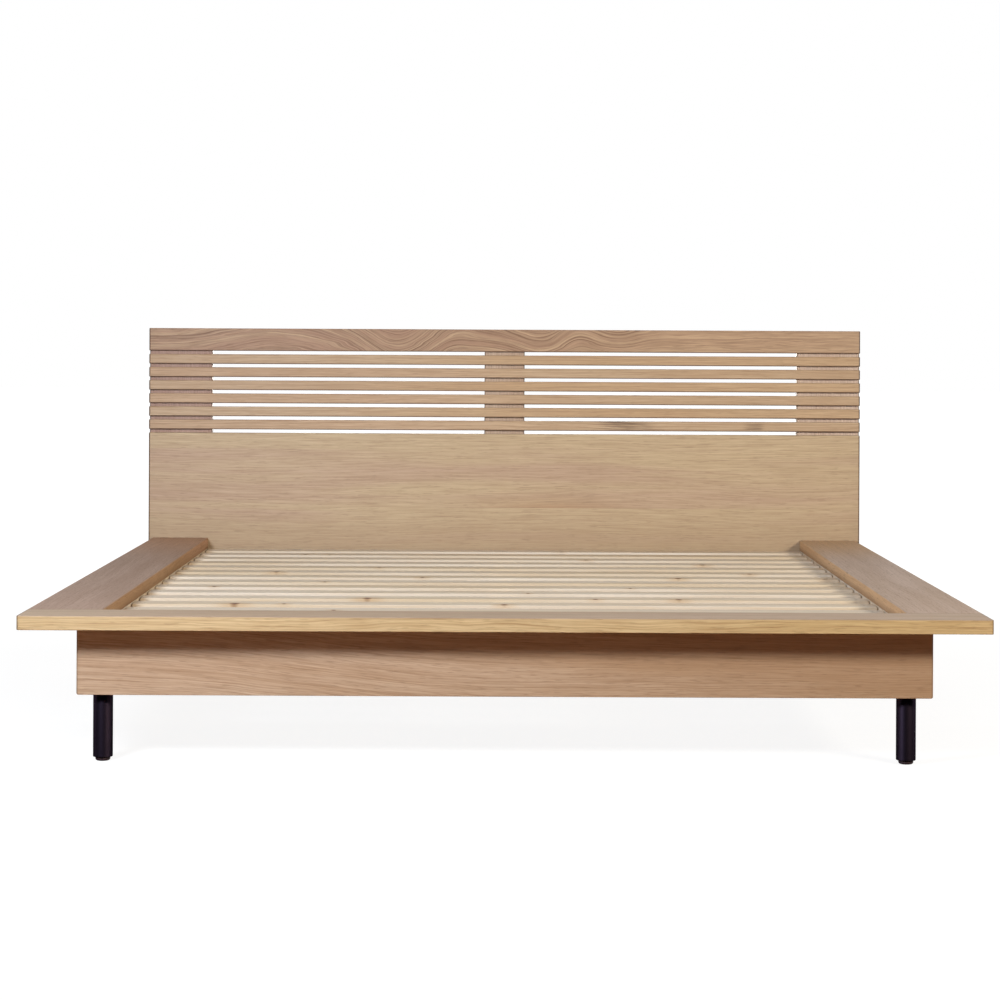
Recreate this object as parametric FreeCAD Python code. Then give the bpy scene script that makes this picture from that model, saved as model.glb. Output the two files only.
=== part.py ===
import FreeCAD, Part
import math
import os

# Platform bed: an oak headboard and oak ledges on a box frame, with a deck of pine slats,
# five round steel legs and screw-in glide feet.
# Millimetres. +X is right as seen from the foot, +Y runs from foot to head, +Z is up.
# The origin is on the floor, under the middle of the whole outline.

# Mattress and the play round it
mattress_width = 1800.0
mattress_length = 2000.0
mattress_side_play = 15.0
mattress_end_play = 30.0

# Ledge boards round the mattress
side_ledge_width = 170.0
foot_ledge_width = 135.0
ledge_thickness = 32.0
ledge_corner_radius = 6.0
ledge_lip_radius = 4.0
board_arris_radius = 1.5

# Box frame under the ledges
rail_thickness = 28.0
rail_height = 158.0
rail_corner_radius = 5.0
foot_rail_setback = 2.0
corner_block_size = 50.0
beam_width = 45.0

# Slat deck and the rebated battens that carry its ends
slat_count = 15
slat_width = 70.0
slat_thickness = 20.0
slat_arris_radius = 2.0
slat_end_play = 3.0
slat_row_margin = 17.0
deck_depth = 33.0
batten_upstand_width = 26.0
batten_shelf_width = 49.0
batten_shelf_height = 30.0

# Headboard
headboard_side_overlap = 15.0
headboard_rise = 648.0
headboard_floor_gap = 176.0
headboard_board_thickness = 22.0
headboard_end_radius = 4.0
headboard_arris_radius = 2.5
top_rail_height = 69.5
headboard_slat_count = 6
headboard_slat_height = 30.0
headboard_slat_gap = 10.5
post_thickness = 25.0
outer_post_width = 194.0
centre_post_width = 124.0
post_top_drop = 10.0

# Legs
leg_diameter = 45.0
leg_wall = 2.0
leg_length = 147.0
leg_top_disc = 6.0
leg_foot_disc = 12.0
leg_edge_radius = 1.5
leg_stud_length = 14.0
centre_leg_place_share = 0.6

# Glide feet: a pad moulded on a threaded stem
glide_height = 9.0
glide_pad_diameter = 34.0
glide_pad_edge_radius = 5.0
glide_stop_gap = 0.2
glide_stem_diameter = 10.0
glide_stem_length = 45.0
glide_socket_floor = 3.0
running_clearance = 0.05

# Machine bolts and the threaded inserts that they turn into
bolt_diameter = 8.0
bolt_head_diameter = 13.0
bolt_head_height = 4.5
insert_diameter = 12.0
insert_length = 15.0
bolt_bore_diameter = 14.0
side_bolt_height_shares = (0.32, 0.68)
end_bolt_height_shares = (0.5, 0.86)
headboard_bolt_place_shares = (-0.8, -0.35, 0.35, 0.8)
headboard_bolt_height_shares = (0.3, 0.7)

# Pan-head screws for the battens and ledges
frame_screw_diameter = 5.0
frame_screw_bite = 19.0
frame_screw_head_diameter = 9.0
frame_screw_head_height = 3.0
frame_screw_bore_diameter = 10.0
frame_screw_row_step = 3
pocket_angle_degrees = 15.0
pocket_place_shares = (-0.85, -0.5, -0.17, 0.17, 0.5, 0.85)

# Countersunk screws for the slats and the headboard posts
thin_screw_diameter = 4.0
thin_screw_head_diameter = 8.0
thin_screw_head_height = 2.2
thin_screw_recess = 0.5
slat_screw_bite = 15.0
slat_screw_inset = 27.0
post_screw_bite = 15.0
post_screw_column_shares = (0.2, 0.8)
panel_screw_row_shares = (0.12, 0.5, 0.88)

# Angle brackets of the centre beam and their screws
bracket_leg = 40.0
bracket_height = 90.0
bracket_thickness = 3.0
bracket_screw_bite = 17.0
bracket_screw_head_height = 2.5
bracket_screw_leg_share = 0.6
bracket_screw_height_shares = (0.25, 0.75)

# Small gap between a fastener and its hole, and the overrun of every cut
hole_clearance = 0.1
overrun = 1.0

# Heights
frame_bottom = glide_height + leg_length
frame_top = frame_bottom + rail_height
ledge_top = frame_top + ledge_thickness
deck_top = ledge_top - deck_depth
slat_bottom = deck_top - slat_thickness
batten_bottom = slat_bottom - batten_shelf_height
headboard_top = ledge_top + headboard_rise
block_height = batten_bottom - frame_bottom
headboard_slat_pitch = headboard_slat_height + headboard_slat_gap
grille_height = headboard_slat_count * headboard_slat_pitch + headboard_slat_gap
panel_top = headboard_top - top_rail_height - grille_height

# Half widths, from the middle outwards
slat_half = mattress_width / 2 + mattress_side_play - slat_end_play
well_half = mattress_width / 2 + mattress_side_play
shelf_half = well_half - batten_shelf_width
rail_inner = well_half + batten_upstand_width
rail_outer = rail_inner + rail_thickness
platform_half = well_half + side_ledge_width
headboard_half = platform_half + headboard_side_overlap
block_inner = rail_inner - corner_block_size
block_middle = rail_inner - corner_block_size / 2

# Places along the bed, from the foot to the head
well_length = mattress_length + mattress_end_play
total_length = foot_ledge_width + well_length + headboard_board_thickness + post_thickness
foot_edge = -total_length / 2
foot_well_edge = foot_edge + foot_ledge_width
foot_rail_back = foot_well_edge - foot_rail_setback
foot_rail_front = foot_rail_back - rail_thickness
head_face = foot_well_edge + well_length
head_rail_front = head_face - rail_thickness
post_front = head_face + headboard_board_thickness
post_back = post_front + post_thickness
foot_block_middle = foot_rail_back + corner_block_size / 2
head_block_middle = head_rail_front - corner_block_size / 2
centre_leg_place = foot_well_edge + centre_leg_place_share * well_length

Vec = FreeCAD.Vector
right = Vec(1, 0, 0)
headward = Vec(0, 1, 0)
up = Vec(0, 0, 1)
sides = {"left": -1, "right": 1}

solids = {}
cutters = {}


def put(node, solid):
    solids.setdefault(node, []).append(solid)


def cut_from(node, tool):
    cutters.setdefault(node, []).append(tool)


def drill(node, start, way, diameter, depth):
    tool = Part.makeCylinder(diameter / 2, depth + overrun, start - way * overrun, way)
    cut_from(node, tool)


def board(x_span, y_span, z_span):
    low = Vec(min(x_span), min(y_span), min(z_span))
    size = [max(span) - min(span) for span in (x_span, y_span, z_span)]
    return Part.makeBox(size[0], size[1], size[2], low)


def front_uprights(shape):
    # The vertical edges of a board on its foot side
    middle = shape.BoundBox.Center.y
    found = []
    for edge in shape.Edges:
        box = edge.BoundBox
        if box.ZLength > box.XLength + box.YLength and box.Center.y < middle:
            found.append(edge)
    return found


def long_edges(shape, upper, outer):
    # The edges that run from foot to head, above or below and outside or inside the middle of a board
    middle = shape.BoundBox.Center
    found = []
    for edge in shape.Edges:
        box = edge.BoundBox
        along = box.YLength > box.XLength + box.ZLength
        if along and (box.Center.z > middle.z) == upper and (abs(box.Center.x) > abs(middle.x)) == outer:
            found.append(edge)
    return found


def eased_board(x_span, y_span, z_span, radius=board_arris_radius):
    shape = board(x_span, y_span, z_span)
    return shape.makeFillet(radius, shape.Edges)


def softened(shape, edges, edge_radius, radius=board_arris_radius):
    # The chosen edges are rounded off more than the others
    shape = shape.makeFillet(edge_radius, edges)
    return shape.makeFillet(radius, shape.Edges)


def rounded_end_board(x_span, y_span, z_span, end_radius, radius):
    shape = board(x_span, y_span, z_span)
    return softened(shape, front_uprights(shape), end_radius, radius)


def headboard_board(z_span):
    across = (-headboard_half, headboard_half)
    boards_y = (head_face, post_front)
    return rounded_end_board(across, boards_y, z_span, headboard_end_radius, headboard_arris_radius)


def pan_head_screw(seat, way, diameter, length, head_diameter, head_height):
    shank = Part.makeCylinder(diameter / 2, length, seat, way)
    head = Part.makeCylinder(head_diameter / 2, head_height, seat - way * head_height, way)
    middle = seat - way * head_height / 2
    rim = [edge for edge in head.Edges if edge.Closed and (middle - edge.CenterOfMass).dot(way) > 0]
    head = head.makeFillet(head_height / 2, rim)
    return shank.fuse(head).removeSplitter()


def countersunk_cone(top, way, spare):
    wide = thin_screw_head_diameter / 2 + spare
    narrow = thin_screw_diameter / 2 + spare
    return Part.makeCone(wide, narrow, thin_screw_head_height, top, way)


def place_thin_screw(group, face, way, carrier, carrier_depth, target, bite):
    # A countersunk screw whose head lies just under the face that it is driven from
    top = face + way * thin_screw_recess
    length = carrier_depth + bite - thin_screw_recess
    shank = Part.makeCylinder(thin_screw_diameter / 2, length, top, way)
    put(group, shank.fuse(countersunk_cone(top, way, 0)).removeSplitter())
    hole = thin_screw_diameter + 2 * hole_clearance
    drill(carrier, face, way, hole, carrier_depth + overrun)
    drill(carrier, face, way, thin_screw_head_diameter + 2 * hole_clearance, thin_screw_recess)
    cut_from(carrier, countersunk_cone(top, way, hole_clearance))
    drill(target, face + way * carrier_depth, way, hole, bite + hole_clearance)


def place_frame_screw(group, seat, way, carrier, grip, bore_run, target):
    # A pan-head screw at the bottom of a counterbore in the piece that it pulls tight
    length = grip + frame_screw_bite
    put(group, pan_head_screw(seat, way, frame_screw_diameter, length,
                              frame_screw_head_diameter, frame_screw_head_height))
    hole = frame_screw_diameter + 2 * hole_clearance
    drill(carrier, seat, way, hole, grip + overrun)
    drill(carrier, seat - way * bore_run, way, frame_screw_bore_diameter, bore_run)
    drill(target, seat + way * grip, way, hole, frame_screw_bite + hole_clearance)


def place_insert(mouth, way, target):
    ring = Part.makeCylinder(insert_diameter / 2, insert_length, mouth, way)
    bore = Part.makeCylinder(bolt_diameter / 2 + running_clearance, insert_length + 2 * overrun,
                             mouth - way * overrun, way)
    put("threaded_inserts", ring.cut(bore))
    drill(target, mouth, way, insert_diameter + 2 * hole_clearance, insert_length + hole_clearance)


def place_bolt(seat, way, carrier, bore_run, target):
    # A bolt through one rail's thickness of wood into a threaded insert
    grip = rail_thickness
    put("bed_bolts", pan_head_screw(seat, way, bolt_diameter, grip + insert_length,
                                    bolt_head_diameter, bolt_head_height))
    drill(carrier, seat, way, bolt_diameter + 2 * hole_clearance, grip + overrun)
    if bore_run > 0:
        drill(carrier, seat - way * bore_run, way, bolt_bore_diameter, bore_run)
    place_insert(seat + way * grip, way, target)


def slat_places():
    pitch = (well_length - 2 * slat_row_margin - slat_width) / (slat_count - 1)
    first = foot_well_edge + slat_row_margin + slat_width / 2
    return [first + number * pitch for number in range(slat_count)]


def gap_places():
    places = slat_places()
    return [(near + far) / 2 for near, far in zip(places, places[1:])]


def make_headboard():
    rail_z = (headboard_top - top_rail_height, headboard_top)
    put("headboard_top_rail", headboard_board(rail_z))
    for number in range(headboard_slat_count):
        high = rail_z[0] - headboard_slat_gap - number * headboard_slat_pitch
        put(f"headboard_slat_{number + 1}", headboard_board((high - headboard_slat_height, high)))
    put("headboard_panel", headboard_board((headboard_floor_gap, panel_top)))

    posts = {
        "headboard_post_left": (-headboard_half, outer_post_width - headboard_half),
        "headboard_post_centre": (-centre_post_width / 2, centre_post_width / 2),
        "headboard_post_right": (headboard_half - outer_post_width, headboard_half),
    }
    post_z = (headboard_floor_gap, headboard_top - post_top_drop)
    for node, post_x in posts.items():
        put(node, eased_board(post_x, (post_front, post_back), post_z))
        screw_headboard_post(node, post_x)


def screw_headboard_post(node, post_x):
    # Two screws to the top rail and in each panel row, one to each slat
    width = post_x[1] - post_x[0]
    columns = [post_x[0] + share * width for share in post_screw_column_shares]
    middle = sum(post_x) / 2
    rail_middle = headboard_top - top_rail_height / 2
    panel_height = panel_top - headboard_floor_gap
    spots = [(x, rail_middle, "headboard_top_rail") for x in columns]
    for number in range(headboard_slat_count):
        below_rail = headboard_slat_gap + number * headboard_slat_pitch + headboard_slat_height / 2
        z = headboard_top - top_rail_height - below_rail
        spots.append((middle, z, f"headboard_slat_{number + 1}"))
    for share in panel_screw_row_shares:
        z = headboard_floor_gap + share * panel_height
        spots += [(x, z, "headboard_panel") for x in columns]
    for x, z, target in spots:
        place_thin_screw("headboard_screws", Vec(x, post_back, z), -headward,
                         node, post_thickness, target, post_screw_bite)


def make_ledges():
    ledge_z = (frame_top, ledge_top)
    for side, sign in sides.items():
        ledge_x = sorted((sign * well_half, sign * platform_half))
        shape = board(ledge_x, (foot_well_edge, head_face), ledge_z)
        put(f"{side}_ledge", softened(shape, long_edges(shape, True, False), ledge_lip_radius))
    foot_x = (-platform_half, platform_half)
    foot_y = (foot_edge, foot_well_edge)
    put("foot_ledge", rounded_end_board(foot_x, foot_y, ledge_z, ledge_corner_radius, board_arris_radius))


def make_rails():
    rail_z = (frame_bottom, frame_top)
    for side, sign in sides.items():
        rail_x = sorted((sign * rail_inner, sign * rail_outer))
        shape = board(rail_x, (foot_rail_back, head_face), rail_z)
        put(f"{side}_rail", softened(shape, long_edges(shape, False, True), rail_corner_radius))
    shape = board((-rail_outer, rail_outer), (foot_rail_front, foot_rail_back), rail_z)
    corners = front_uprights(shape) + long_edges(shape, False, True)
    put("foot_rail", softened(shape, corners, rail_corner_radius))
    # The head rail stops at the underside of the slats, so the last slat passes over it
    put("head_rail", eased_board((-rail_inner, rail_inner), (head_rail_front, head_face),
                                 (frame_bottom, slat_bottom)))


def make_corner_blocks():
    ends = [(foot_block_middle, foot_rail_back, -headward, "foot_rail"),
            (head_block_middle, head_rail_front, headward, "head_rail")]
    bore_run = corner_block_size - rail_thickness
    for side, sign in sides.items():
        block_x = sorted((sign * block_inner, sign * rail_inner))
        for middle, face, way, end_rail in ends:
            block_y = (middle - corner_block_size / 2, middle + corner_block_size / 2)
            put("corner_blocks", board(block_x, block_y, (frame_bottom, batten_bottom)))
            for share in side_bolt_height_shares:
                z = frame_bottom + share * block_height
                seat = Vec(sign * (rail_inner - rail_thickness), middle, z)
                place_bolt(seat, right * sign, "corner_blocks", bore_run, f"{side}_rail")
            for share in end_bolt_height_shares:
                z = frame_bottom + share * block_height
                seat = Vec(sign * block_middle, face, z) - way * rail_thickness
                place_bolt(seat, way, "corner_blocks", bore_run, end_rail)


def bolt_headboard():
    # Bolts from inside the head rail into the headboard panel
    height = slat_bottom - frame_bottom
    for place in headboard_bolt_place_shares:
        for share in headboard_bolt_height_shares:
            seat = Vec(place * rail_inner, head_rail_front, frame_bottom + share * height)
            place_bolt(seat, headward, "head_rail", 0, "headboard_panel")


def make_battens():
    # An upstand against the rail carries the ledge, and a shelf inside it carries the slats
    run = (foot_rail_back, head_rail_front)
    for side, sign in sides.items():
        batten = f"{side}_slat_batten"
        shelf_x = (sign * shelf_half, sign * rail_inner)
        upstand_x = (sign * well_half, sign * rail_inner)
        shelf = board(shelf_x, run, (batten_bottom, slat_bottom))
        upstand = board(upstand_x, run, (batten_bottom, frame_top))
        put(batten, shelf.fuse(upstand).removeSplitter())

        seat_z = frame_top - batten_upstand_width
        upstand_middle = sign * (well_half + rail_inner) / 2
        for y in slat_places()[1::frame_screw_row_step]:
            place_frame_screw("ledge_screws", Vec(upstand_middle, y, seat_z), up, batten,
                              batten_upstand_width, seat_z - batten_bottom, f"{side}_ledge")
        shelf_middle_z = batten_bottom + batten_shelf_height / 2
        for y in gap_places()[::frame_screw_row_step]:
            place_frame_screw("batten_screws", Vec(sign * well_half, y, shelf_middle_z), right * sign,
                              batten, batten_upstand_width, batten_shelf_width, f"{side}_rail")


def screw_foot_ledge():
    # Slanted pocket screws from inside the foot rail up into the foot ledge
    slant = math.radians(pocket_angle_degrees)
    way = up * math.cos(slant) - headward * math.sin(slant)
    half = rail_thickness / 2
    run = half / math.sin(slant) + frame_screw_bore_diameter / 2 / math.tan(slant)
    for share in pocket_place_shares:
        top = Vec(share * rail_outer, foot_rail_back - half, frame_top)
        place_frame_screw("ledge_screws", top - way * batten_upstand_width, way, "foot_rail",
                          batten_upstand_width, run - batten_upstand_width, "foot_ledge")


def make_slats():
    for number, y in enumerate(slat_places(), start=1):
        node = f"slat_{number}"
        slat_y = (y - slat_width / 2, y + slat_width / 2)
        put(node, eased_board((-slat_half, slat_half), slat_y, (slat_bottom, deck_top), slat_arris_radius))
        for side, sign in sides.items():
            face = Vec(sign * (slat_half - slat_screw_inset), y, deck_top)
            place_thin_screw("slat_screws", face, -up, node, slat_thickness,
                             f"{side}_slat_batten", slat_screw_bite)


def make_centre_beam():
    beam_x = (-beam_width / 2, beam_width / 2)
    put("centre_beam", board(beam_x, (foot_rail_back, head_rail_front), (frame_bottom, slat_bottom)))
    ends = [(foot_rail_back, headward, "foot_rail"), (head_rail_front, -headward, "head_rail")]
    low = frame_bottom + (slat_bottom - frame_bottom - bracket_height) / 2
    for sign in sides.values():
        for face, inward, rail in ends:
            make_beam_bracket(right * sign, inward, Vec(sign * beam_width / 2, face, low), rail)


def make_beam_bracket(outward, inward, corner, rail):
    # An angle in the corner between the beam's side and the rail's inner face
    height = up * bracket_height
    reach = outward * bracket_leg + inward * bracket_leg + height
    hollow = outward * bracket_thickness + inward * bracket_thickness
    far = corner + reach
    whole = board((corner.x, far.x), (corner.y, far.y), (corner.z, far.z))
    near = corner + hollow - up * overrun
    past = far + (outward + inward + up) * overrun
    put("beam_brackets", whole.cut(board((near.x, past.x), (near.y, past.y), (near.z, past.z))))
    for share in bracket_screw_height_shares:
        level = corner + height * share
        reach_to = bracket_leg * bracket_screw_leg_share
        spots = [(level + outward * reach_to + inward * bracket_thickness, -inward, rail),
                 (level + inward * reach_to + outward * bracket_thickness, -outward, "centre_beam")]
        for seat, way, target in spots:
            place_bracket_screw(seat, way, target)


def place_bracket_screw(seat, way, target):
    length = bracket_thickness + bracket_screw_bite
    put("bracket_screws", pan_head_screw(seat, way, thin_screw_diameter, length,
                                         thin_screw_head_diameter, bracket_screw_head_height))
    hole = thin_screw_diameter + 2 * hole_clearance
    drill("beam_brackets", seat, way, hole, bracket_thickness + overrun)
    drill(target, seat + way * bracket_thickness, way, hole, bracket_screw_bite + hole_clearance)


def leg_places():
    places = {"centre": (0, centre_leg_place, "centre_beam")}
    for side, sign in sides.items():
        places[f"foot_{side}"] = (sign * block_middle, foot_block_middle, "corner_blocks")
        places[f"head_{side}"] = (sign * block_middle, head_block_middle, "corner_blocks")
    return places


def make_leg(x, y):
    # A steel tube closed by two discs: a stud on the upper one, a threaded hole in the lower
    foot = Vec(x, y, glide_height)
    radius = leg_diameter / 2
    tube = Part.makeCylinder(radius, leg_length, foot)
    tube = tube.makeFillet(leg_edge_radius, [edge for edge in tube.Edges if edge.Closed])
    hollow_length = leg_length - leg_top_disc - leg_foot_disc
    hollow = Part.makeCylinder(radius - leg_wall, hollow_length, foot + up * leg_foot_disc)
    hole_radius = glide_stem_diameter / 2 + running_clearance
    hole = Part.makeCylinder(hole_radius, leg_foot_disc + 2 * overrun, foot - up * overrun)
    stud_foot = foot + up * (leg_length - leg_top_disc / 2)
    stud = Part.makeCylinder(bolt_diameter / 2, leg_top_disc / 2 + leg_stud_length, stud_foot)
    return tube.cut([hollow, hole]).fuse(stud).removeSplitter()


def make_glide_pad(x, y):
    # A round pad with a dished lower edge and a blind socket for the stem
    radius = glide_pad_diameter / 2
    pad = Part.makeCylinder(radius, glide_height - glide_stop_gap, Vec(x, y, 0))
    lower = [edge for edge in pad.Edges if edge.Closed and edge.CenterOfMass.z < glide_stop_gap]
    pad = pad.makeFillet(glide_pad_edge_radius, lower)
    socket_foot = Vec(x, y, glide_socket_floor)
    socket = Part.makeCylinder(glide_stem_diameter / 2 + running_clearance, glide_height, socket_foot)
    return pad.cut(socket)


def make_legs():
    for place, (x, y, carrier) in leg_places().items():
        put(f"leg_{place}", make_leg(x, y))
        place_insert(Vec(x, y, frame_bottom), up, carrier)
        put(f"glide_pad_{place}", make_glide_pad(x, y))
        stem_foot = Vec(x, y, glide_socket_floor + running_clearance)
        put(f"glide_stem_{place}", Part.makeCylinder(glide_stem_diameter / 2, glide_stem_length, stem_foot))


def save_all():
    os.makedirs("parts", exist_ok=True)
    for node, made in solids.items():
        if node in cutters:
            made = [solid for piece in made for solid in piece.cut(cutters[node]).Solids]
        shape = made[0] if len(made) == 1 else Part.makeCompound(made)
        shape.exportStep(f"parts/{node}.step")
        print(node, len(made), "solids", round(shape.Volume), "mm3")


make_headboard()
make_ledges()
make_rails()
make_corner_blocks()
bolt_headboard()
make_battens()
screw_foot_ledge()
make_slats()
make_centre_beam()
make_legs()
save_all()
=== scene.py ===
import bpy
import functools
import math
import numpy as np
from mathutils import Matrix, Vector


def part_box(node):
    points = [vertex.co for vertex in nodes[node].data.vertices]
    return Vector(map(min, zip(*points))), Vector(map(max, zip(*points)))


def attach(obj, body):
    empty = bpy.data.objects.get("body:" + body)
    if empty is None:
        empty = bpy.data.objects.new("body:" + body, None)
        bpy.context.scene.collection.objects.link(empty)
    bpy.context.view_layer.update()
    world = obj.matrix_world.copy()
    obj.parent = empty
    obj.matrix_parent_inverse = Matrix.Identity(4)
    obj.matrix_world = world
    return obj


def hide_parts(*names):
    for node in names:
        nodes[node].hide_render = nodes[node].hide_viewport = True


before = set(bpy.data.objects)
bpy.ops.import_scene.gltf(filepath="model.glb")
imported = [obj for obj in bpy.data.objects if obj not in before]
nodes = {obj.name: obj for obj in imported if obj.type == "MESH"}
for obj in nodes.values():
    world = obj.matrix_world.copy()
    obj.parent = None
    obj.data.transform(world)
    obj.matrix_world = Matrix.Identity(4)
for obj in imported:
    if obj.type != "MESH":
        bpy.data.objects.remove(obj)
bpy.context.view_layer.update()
mm = 0.001
colourMix = {"data_type": "RGBA"}  # settings that many nodes share
smoothStep = {"interpolation_type": "SMOOTHSTEP"}
print("frame loaded,", len(nodes), "CAD nodes")


def linear(code):  # sRGB hex to linear RGBA
    channels = np.array([int(code[start:start + 2], 16) for start in (1, 3, 5)]) / 255
    low, high = channels / 12.92, ((channels + 0.055) / 1.055) ** 2.4
    return (*np.where(channels <= 0.04045, low, high).tolist(), 1.0)


def addNode(tree, kind, settings=None, inputs=None):  # a node with its settings, values and links
    node = tree.nodes.new(kind)
    for key, value in (settings or {}).items():
        setattr(node, key, value)
    for key, value in (inputs or {}).items():
        if isinstance(value, bpy.types.NodeSocket):
            tree.links.new(value, node.inputs[key])
        else:
            node.inputs[key].default_value = value
    return node


def blankMaterial(name):  # a new material with only its shader and output
    material = bpy.data.materials.new(name)
    material.use_nodes = True
    tree = material.node_tree
    tree.nodes.clear()
    shader = tree.nodes.new("ShaderNodeBsdfPrincipled")
    output = tree.nodes.new("ShaderNodeOutputMaterial")
    tree.links.new(shader.outputs["BSDF"], output.inputs["Surface"])
    return material, tree, shader


def dress(name, material):  # gives a CAD node or a new piece its finish
    slots = nodes[name].data.materials if name in nodes else bpy.data.objects[name].data.materials
    slots.clear()
    slots.append(material)


# Grain that the oak and the pine share
axisOf = {"x": Vector((1, 0, 0)), "y": Vector((0, 1, 0)), "z": Vector((0, 0, 1))}
outwardOf = {"front": Vector((0, -1, 0)), "side": Vector((1, 0, 0)), "top": Vector((0, 0, 1))}
grainLook = {
    "ringTilt": 0.7,                           # how far the growth rings lean with depth
    "bendGain": 4,                             # brings the noise's swing up to a board's bend
    "deepStretch": 4,                          # streaks run this much deeper than they are wide
    "yearDrift": 0.31, "uneven": 2.4,          # how fast the widths of the rings vary, and by how many rings
    "lateWood": 0.8,                           # share of a ring at which it is darkest
    "faintest": 0.15,                          # darkness of the faintest years
}


def boardTurn(grain, face):  # turn that lays pattern x along the grain and pattern z out of the face
    along, outward = axisOf[grain], outwardOf[face]
    return Matrix((along, outward.cross(along), outward)).transposed().to_euler()


def halfSizes(node, spec):  # half of a board's length along the grain, width across it and thickness
    low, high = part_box(node)
    along, outward = axisOf[spec["grain"]], outwardOf[spec["face"]]
    return [abs((high - low).dot(way)) / 2 for way in (along, outward.cross(along), outward)]


def woodGrain(add, node, look, spec, seed):
    # Metres along the grain, across it and deep from a board's middle, and the growth ring at each place:
    # across plus a share of deep, bent by two noises and by a bell curve for each row of the figure
    low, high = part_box(node)
    local = add("ShaderNodeMapping", {"vector_type": "TEXTURE"}, {
        "Vector": add("ShaderNodeTexCoord").outputs["Object"],
        "Location": (low + high) / 2,
        "Rotation": boardTurn(spec["grain"], spec["face"]),
    }).outputs["Vector"]
    split = add("ShaderNodeSeparateXYZ", None, {"Vector": local})
    along, across, deep = (split.outputs[axis] for axis in "XYZ")
    ring = add("ShaderNodeMath", {"operation": "MULTIPLY_ADD"}, {
        0: deep, 1: grainLook["ringTilt"], 2: across,
    }).outputs[0]
    for size in ("sway", "wobble"):
        scale = (1 / (look[size + "Length"] * mm), *[1 / (look[size + "Width"] * mm)] * 2)
        place = add("ShaderNodeVectorMath", {"operation": "MULTIPLY"}, {0: local, 1: scale}).outputs[0]
        noise = add("ShaderNodeTexNoise", {"noise_dimensions": "4D"}, {
            "Vector": place, "W": seed, "Scale": 1.0, "Detail": 1.0, "Roughness": 0.5,
        }).outputs["Fac"]
        swing = add("ShaderNodeMath", {"operation": "SUBTRACT"}, {0: noise, 1: 0.5}).outputs[0]
        ring = add("ShaderNodeMath", {"operation": "MULTIPLY_ADD"}, {
            0: swing, 1: grainLook["bendGain"] * spec[size] * mm, 2: ring,
        }).outputs[0]
    for place, width, dip in spec.get("figure", []):
        away = add("ShaderNodeMath", {"operation": "SUBTRACT"}, {0: along, 1: place * mm}).outputs[0]
        share = add("ShaderNodeMath", {"operation": "DIVIDE"}, {0: away, 1: width * mm}).outputs[0]
        square = add("ShaderNodeMath", {"operation": "MULTIPLY"}, {0: share, 1: share}).outputs[0]
        fall = add("ShaderNodeMath", {"operation": "MULTIPLY"}, {0: square, 1: -1.0}).outputs[0]
        bell = add("ShaderNodeMath", {"operation": "EXPONENT"}, {0: fall}).outputs[0]
        ring = add("ShaderNodeMath", {"operation": "MULTIPLY_ADD"}, {
            0: bell, 1: dip * mm, 2: ring,
        }).outputs[0]
    tint = None
    if "stave" in spec:  # glued-up widths, each with its own grain and tone
        start = add("ShaderNodeMath", {"operation": "SUBTRACT"}, {
            0: across, 1: spec["staveStart"] * mm,
        }).outputs[0]
        count = add("ShaderNodeMath", {"operation": "DIVIDE"}, {0: start, 1: spec["stave"] * mm}).outputs[0]
        index = add("ShaderNodeMath", {"operation": "FLOOR"}, {0: count}).outputs[0]
        tint = add("ShaderNodeTexWhiteNoise", {"noise_dimensions": "1D"}, {"W": index}).outputs["Value"]
        ring = add("ShaderNodeMath", {"operation": "ADD"}, {0: ring, 1: tint}).outputs[0]
    bent = add("ShaderNodeCombineXYZ", None, {"X": along, "Y": ring, "Z": deep}).outputs["Vector"]
    return {"along": along, "across": across, "deep": deep, "ring": ring, "tint": tint, "bent": bent}


def stretchedNoise(add, grain, look, kind, seed, detail):
    # Noise drawn out along the bent grain to the length and width, in mm, that the look gives for its kind
    length, width = look[kind + "Length"] * mm, look[kind + "Width"] * mm
    scale = (1 / length, 1 / width, 1 / (grainLook["deepStretch"] * width))
    place = add("ShaderNodeVectorMath", {"operation": "MULTIPLY"}, {0: grain["bent"], 1: scale}).outputs[0]
    return add("ShaderNodeTexNoise", {"noise_dimensions": "4D"}, {
        "Vector": place, "W": seed, "Scale": 1.0, "Detail": detail, "Roughness": 0.55,
    }).outputs["Fac"]


def growthLines(add, grain, spacing, seed):
    # Growth rings of uneven width: each darkens slowly towards its late wood and then pales again quickly
    count = add("ShaderNodeMath", {"operation": "DIVIDE"}, {0: grain["ring"], 1: spacing * mm}).outputs[0]
    slow = add("ShaderNodeMath", {"operation": "MULTIPLY_ADD"}, {
        0: count, 1: grainLook["yearDrift"], 2: seed,
    }).outputs[0]
    uneven = add("ShaderNodeTexNoise", {"noise_dimensions": "1D"}, {
        "W": slow, "Scale": 1.0, "Detail": 1.0,
    }).outputs["Fac"]
    years = add("ShaderNodeMath", {"operation": "MULTIPLY_ADD"}, {
        0: uneven, 1: grainLook["uneven"], 2: count,
    }).outputs[0]
    part = add("ShaderNodeMath", {"operation": "FRACT"}, {0: years}).outputs[0]
    climb = add("ShaderNodeMapRange", smoothStep, {
        "Value": part, "From Max": grainLook["lateWood"],
    }).outputs["Result"]
    drop = add("ShaderNodeMapRange", None, {
        "Value": part, "From Min": 1.0, "From Max": grainLook["lateWood"],
    }).outputs["Result"]
    rise = add("ShaderNodeMath", {"operation": "MULTIPLY"}, {0: climb, 1: drop}).outputs[0]
    year = add("ShaderNodeMath", {"operation": "FLOOR"}, {0: years}).outputs[0]
    chance = add("ShaderNodeTexWhiteNoise", {"noise_dimensions": "1D"}, {"W": year}).outputs["Value"]
    dark = add("ShaderNodeMapRange", None, {
        "Value": chance, "To Min": grainLook["faintest"], "To Max": 1.0,
    }).outputs["Result"]
    return add("ShaderNodeMath", {"operation": "MULTIPLY"}, {0: rise, 1: dark}).outputs[0]


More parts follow.
